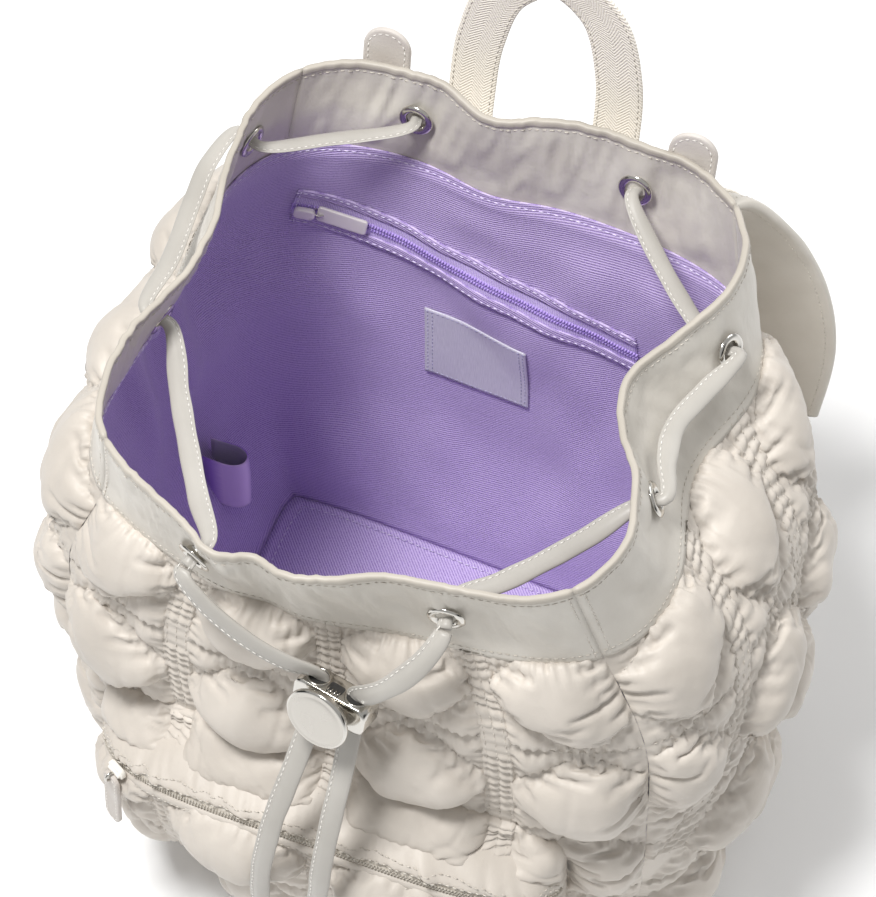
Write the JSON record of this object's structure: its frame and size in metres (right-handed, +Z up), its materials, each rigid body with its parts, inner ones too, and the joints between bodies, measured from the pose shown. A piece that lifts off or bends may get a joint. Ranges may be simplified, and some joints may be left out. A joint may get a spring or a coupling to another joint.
{
  "type": "drawstring backpack",
  "caption": "Ruched nylon drawstring backpack with an open lined mouth, eyelets, a press cord lock, a zipped front pocket, a webbing handle and padded shoulder straps.",
  "frame": {"origin": "middle of the underside of the base, where the bag stands", "axes": "+Z up, front pocket towards -Y, +X to the right of a viewer who faces the pocket"},
  "size_m": [0.325, 0.3143, 0.355],
  "materials": {
    "nylon": "ruched stone-beige nylon, soft sheen",
    "collar": "plain stone-beige nylon, soft sheen",
    "cord": "flat pale nylon cord with one stitched edge",
    "lining": "lilac twill",
    "satin": "purple satin ribbon",
    "label": "pale lavender-grey satin, bare",
    "zip_tape": "beige zip tape with coil teeth",
    "webbing": "cream herringbone webbing",
    "leather": "grey-beige smooth leather, stitched edge",
    "nickel": "polished nickel"
  },
  "bodies": {
    "bag": {"front_panel": "nylon", "right_panel": "nylon", "back_panel": "nylon", "left_panel": "nylon", "base_panel": "nylon", "lining_base": "lining", "lining_wall": "lining", "collar_front": "collar", "collar_right": "collar", "collar_back": "collar", "collar_left": "collar", "eyelet_front_left": "nickel", "eyelet_front_right": "nickel", "eyelet_right_front": "nickel", "eyelet_right_rear": "nickel", "eyelet_back_right": "nickel", "eyelet_back_left": "nickel", "eyelet_left_rear": "nickel", "eyelet_left_front": "nickel", "pocket_face": "nylon", "pocket_zip_tape": "zip_tape", "pocket_band": "nylon", "pocket_zip_slider": "nickel", "pocket_zip_pull": "leather", "inner_zip_tape": "lining", "inner_label": "label", "inner_zip_slider": "nickel", "inner_zip_pull": "nickel", "care_loop": "satin", "drawstring": "cord", "drawstring_end_left": "cord", "drawstring_end_right": "cord", "lock_body": "nickel", "top_handle": "webbing", "shoulder_strap_left": "nylon", "shoulder_strap_right": "nylon", "strap_tab_left": "leather", "strap_tab_right": "leather", "strap_adjuster_left": "nickel", "strap_adjuster_right": "nickel", "strap_webbing_left": "webbing", "strap_webbing_right": "webbing"},
    "button": {"lock_button": "nickel"}
  },
  "joints": [
    {"name": "lock_press", "type": "slide", "parent": "bag", "child": "button", "axis": [0.2008, 0.9448, -0.2588], "range_m": [0, 0.0035], "stiffness_N_per_m": 900}
  ]
}
